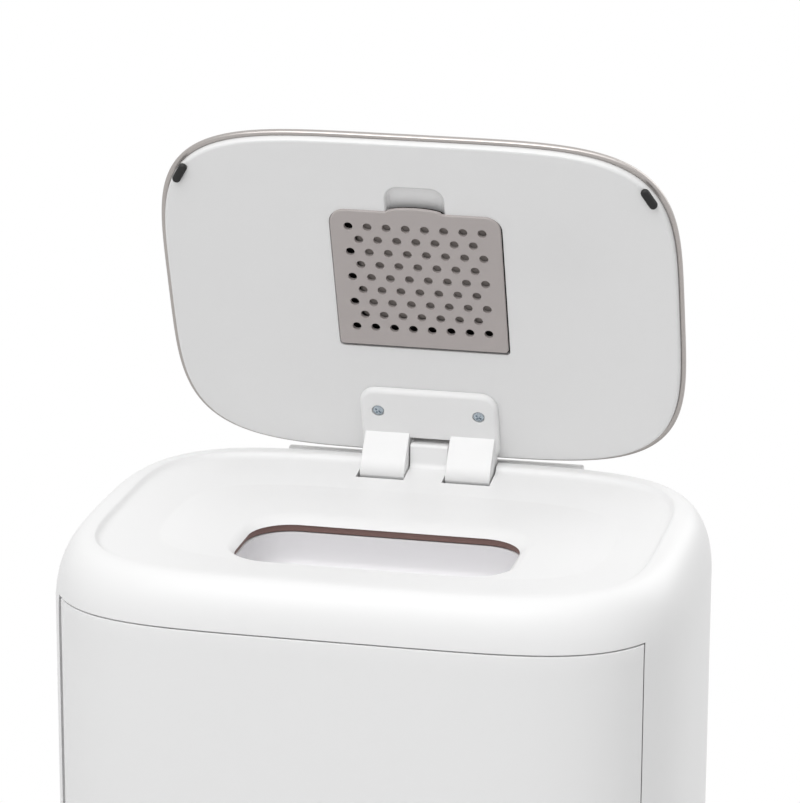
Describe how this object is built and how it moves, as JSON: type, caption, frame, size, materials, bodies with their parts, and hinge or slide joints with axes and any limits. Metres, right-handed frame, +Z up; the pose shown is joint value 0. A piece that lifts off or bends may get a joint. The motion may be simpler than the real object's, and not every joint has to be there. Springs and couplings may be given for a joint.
{
  "type": "nappy bin",
  "caption": "Free-standing nappy bin with a pedal-lifted hinged lid, a sprung odour barrier under the opening, a front door and a lift-out pail.",
  "frame": {"origin": "centre of the body's outline on the floor, under the four rubber feet", "axes": "+Z up, the door and the pedal face -Y, +X to the right when facing the door from the front"},
  "size_m": [0.3208, 0.282, 0.7677],
  "materials": {
    "body_white": "satin moulded, white",
    "liner_white": "fine satin, white",
    "lid_metal": "satin, warm silver",
    "vent_plastic": "satin, warm grey",
    "bright_steel": "bright, plain",
    "black_rubber": "matte, black",
    "seal_rubber": "matte, brown",
    "filter_felt": "matte felt, charcoal",
    "base_grey": "matte, light grey",
    "pail_grey": "matte, grey",
    "tread_rubber": "matte, dark grey",
    "magnet_grey": "satin, dark grey"
  },
  "bodies": {
    "base": {"body_shell": "body_white", "base_tray": "base_grey", "floor_plate": "base_grey", "anti_slip_feet": "tread_rubber", "base_screws": "bright_steel", "rear_channel": "base_grey", "hinge_cover": "body_white", "hinge_pin": "bright_steel", "chute_collar": "base_grey", "collar_screws": "bright_steel", "rim_seal": "seal_rubber", "barrier_shaft": "bright_steel", "barrier_spring": "bright_steel", "inner_pail": "pail_grey", "bag_ring": "pail_grey", "latch_post": "base_grey", "door_magnets": "magnet_grey", "pedal_pin": "bright_steel"},
    "door": {"door_panel": "body_white", "door_frame": "base_grey", "door_strikers": "bright_steel", "door_pivots": "bright_steel"},
    "pedal": {"pedal_lever": "bright_steel", "pedal_pad": "body_white", "pedal_tread": "tread_rubber"},
    "rod": {"push_rod": "bright_steel", "rod_head": "base_grey"},
    "lid": {"lid_cover": "lid_metal", "lid_liner": "liner_white", "hinge_bracket": "body_white", "bracket_screws": "bright_steel", "lid_bumpers": "black_rubber", "filter_pad": "filter_felt"},
    "filter_door": {"filter_cover": "vent_plastic"},
    "barrier": {"barrier_bowl": "body_white"}
  },
  "joints": [
    {"name": "lid_hinge", "type": "hinge", "parent": "base", "child": "lid", "pos_m": [0, 0.1015, 0.5725], "axis": [-1, 0, 0], "range_deg": [-70.8, 0]},
    {"name": "pedal_hinge", "type": "hinge", "parent": "base", "child": "pedal", "pos_m": [0, 0.0345, 0.022], "axis": [1, 0, 0], "range_deg": [-8.27, 0]},
    {"name": "rod_lift", "type": "slide", "parent": "base", "child": "rod", "axis": [0, 0, 1], "range_m": [-0.00866, 0]},
    {"name": "door_hinge", "type": "hinge", "parent": "base", "child": "door", "pos_m": [-0.143, -0.08628, 0.3], "axis": [0, 0, -1], "range_deg": [0, 100]},
    {"name": "barrier_hinge", "type": "hinge", "parent": "base", "child": "barrier", "pos_m": [0, -0.068, 0.5607], "axis": [-1, 0, 0], "range_deg": [0, 70], "stiffness_Nm_per_rad": 0.1, "springref_deg": -34.38},
    {"name": "filter_hinge", "type": "hinge", "parent": "lid", "child": "filter_door", "pos_m": [0, 0.08418, 0.64748], "axis": [1, 0, 0], "range_deg": [0, 18]}
  ],
  "couplings": [
    {"joint": "pedal_hinge", "follows": "lid_hinge", "ratio": 0.11667},
    {"joint": "rod_lift", "follows": "lid_hinge", "m_per_rad": 0.007}
  ]
}
